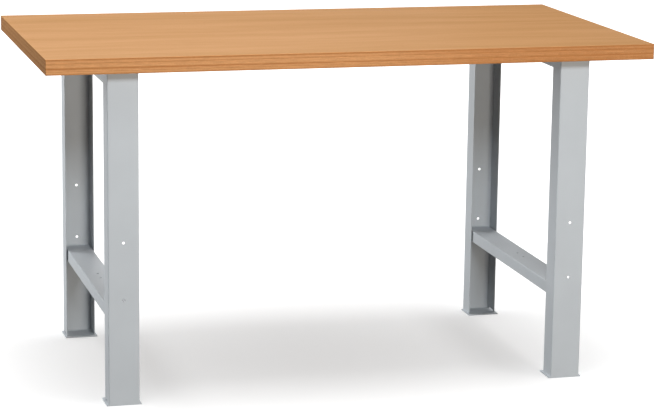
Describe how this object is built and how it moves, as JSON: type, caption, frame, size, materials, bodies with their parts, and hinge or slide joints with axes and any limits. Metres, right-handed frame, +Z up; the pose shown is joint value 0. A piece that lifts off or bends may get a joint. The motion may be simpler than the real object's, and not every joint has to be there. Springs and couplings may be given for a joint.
{
  "type": "workbench",
  "caption": "Fixed workbench with a thick plywood worktop on two grey side frames of folded steel channel, each with a top rail, a lower rail and foot plates.",
  "frame": {"origin": "on the floor, under the middle of the worktop", "axes": "+Z up, +X along the worktop to the right as seen from the front, +Y from the front to the back"},
  "size_m": [1.5, 0.8, 0.85],
  "materials": {
    "plywood": "satin oiled beech plywood",
    "grey_paint": "satin powder coat",
    "zinc": "zinc plated"
  },
  "bodies": {
    "root": {"worktop": "plywood", "left_front_leg": "grey_paint", "left_rear_leg": "grey_paint", "left_top_rail": "grey_paint", "left_lower_rail": "grey_paint", "left_front_foot": "grey_paint", "left_rear_foot": "grey_paint", "right_front_leg": "grey_paint", "right_rear_leg": "grey_paint", "right_top_rail": "grey_paint", "right_lower_rail": "grey_paint", "right_front_foot": "grey_paint", "right_rear_foot": "grey_paint", "left_screw_1": "zinc", "left_washer_1": "zinc", "left_screw_2": "zinc", "left_washer_2": "zinc", "left_screw_3": "zinc", "left_washer_3": "zinc", "left_screw_4": "zinc", "left_washer_4": "zinc", "right_screw_1": "zinc", "right_washer_1": "zinc", "right_screw_2": "zinc", "right_washer_2": "zinc", "right_screw_3": "zinc", "right_washer_3": "zinc", "right_screw_4": "zinc", "right_washer_4": "zinc"}
  },
  "joints": []
}
